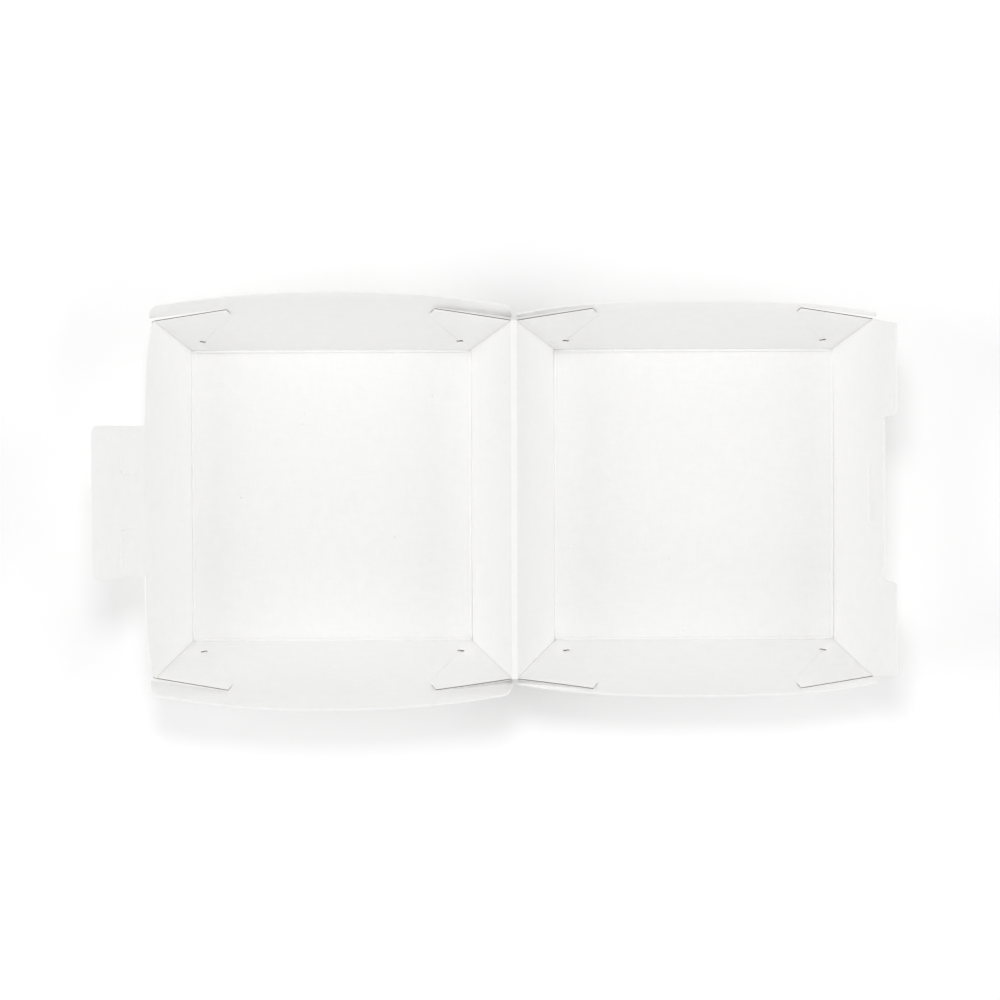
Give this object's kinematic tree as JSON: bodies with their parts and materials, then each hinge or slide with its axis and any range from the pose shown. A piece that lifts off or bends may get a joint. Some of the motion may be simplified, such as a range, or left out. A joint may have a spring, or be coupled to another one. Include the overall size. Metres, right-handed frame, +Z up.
{
  "type": "burger box",
  "caption": "One-piece folded white card clamshell burger box, opened flat, with a hinged lid tray and a tuck flap that locks into the base's front wall.",
  "frame": {"origin": "middle of the underside of the base tray's floor", "axes": "+X from the hinge to the base's front wall, +Z up, out of the open trays"},
  "size_m": [0.3294, 0.1718, 0.0578],
  "materials": {
    "card": "matte white board"
  },
  "bodies": {
    "base": {"base_tray": "card"},
    "lid": {"lid_tray": "card"},
    "flap": {"tuck_flap": "card"}
  },
  "joints": [
    {"name": "lid_hinge", "type": "hinge", "parent": "base", "child": "lid", "pos_m": [-0.07515, 0, 0.04], "axis": [0, 1, 0], "range_deg": [0, 180]},
    {"name": "tuck_fold", "type": "hinge", "parent": "lid", "child": "flap", "pos_m": [-0.22671, 0, 0.03926], "axis": [0, 1, 0], "range_deg": [0, 80]}
  ]
}
